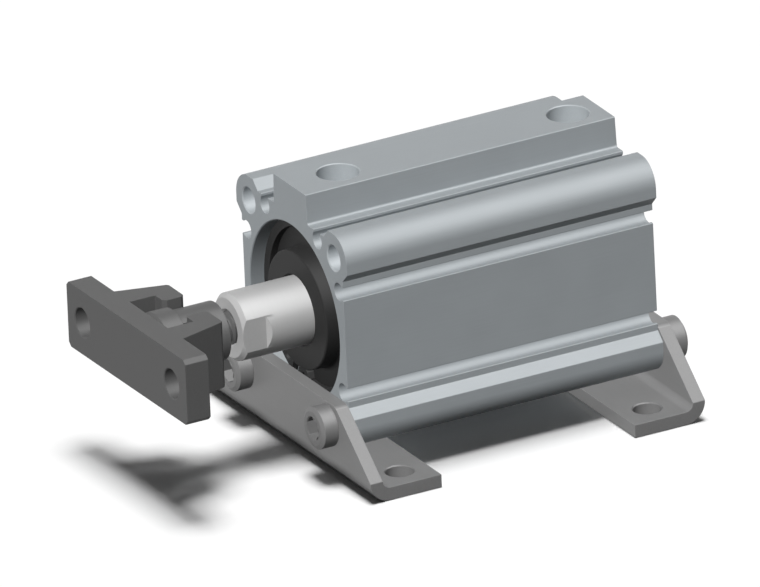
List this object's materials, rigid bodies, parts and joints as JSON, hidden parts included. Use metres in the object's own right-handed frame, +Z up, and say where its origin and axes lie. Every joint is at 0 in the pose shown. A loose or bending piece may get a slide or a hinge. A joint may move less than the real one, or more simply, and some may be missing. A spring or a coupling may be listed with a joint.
{
  "type": "compact pneumatic cylinder",
  "caption": "Short-stroke air cylinder in a grooved aluminium body on bent foot brackets, with a floating T-slot joint and mounting bracket on its rod.",
  "frame": {"origin": "centre of the four foot holes, on the mounting plane under the feet", "axes": "+X along the bore away from the rod, +Y to the rod's right hand side seen from the rod end, +Z up from the mounting plane"},
  "size_m": [0.1299, 0.078, 0.064],
  "materials": {
    "tube_aluminium": "hard anodised extrusion, satin grey",
    "collar_black": "black painted casting",
    "piston_aluminium": "chromated, machined",
    "spring_steel": "phosphated spring steel",
    "rod_chrome": "hard chrome, ground",
    "joint_steel": "black oxide, turned",
    "bracket_steel": "black oxide, satin",
    "foot_steel": "nickel plated sheet, satin",
    "bolt_steel": "nickel plated, turned",
    "bearing_bronze": "sintered bearing alloy",
    "seal_rubber": "moulded nitrile rubber",
    "guide_resin": "cut resin band",
    "magnet_rubber": "magnet bonded in rubber",
    "bumper_urethane": "moulded urethane"
  },
  "bodies": {
    "cylinder": {"cylinder_tube": "tube_aluminium", "collar": "collar_black", "rod_seal": "seal_rubber", "rod_bushing": "bearing_bronze", "collar_gasket": "seal_rubber", "retaining_ring": "spring_steel", "bottom_plate": "collar_black", "bottom_gasket": "seal_rubber", "front_foot": "foot_steel", "rear_foot": "foot_steel", "front_foot_bolt_left": "bolt_steel", "front_foot_bolt_right": "bolt_steel", "rear_foot_bolt_left": "bolt_steel", "rear_foot_bolt_right": "bolt_steel"},
    "piston_rings": {"wear_ring": "guide_resin", "piston_seal": "seal_rubber"},
    "rod": {"piston_rod": "rod_chrome", "piston": "piston_aluminium", "magnet_ring": "magnet_rubber", "front_bumper": "bumper_urethane", "rear_bumper": "bumper_urethane", "joint_stud": "joint_steel"},
    "bracket": {"mounting_bracket": "bracket_steel"}
  },
  "joints": [
    {"name": "rod_slide", "type": "slide", "parent": "cylinder", "child": "piston_rings", "axis": [-1, 0, 0], "range_m": [0, 0.04]},
    {"name": "rod_spin", "type": "hinge", "parent": "piston_rings", "child": "rod", "pos_m": [0, 0, 0.033], "axis": [-1, 0, 0], "continuous": true},
    {"name": "bracket_slide", "type": "slide", "parent": "rod", "child": "bracket", "axis": [0, 0, 1], "range_m": [-0.006, 0.006]}
  ]
}
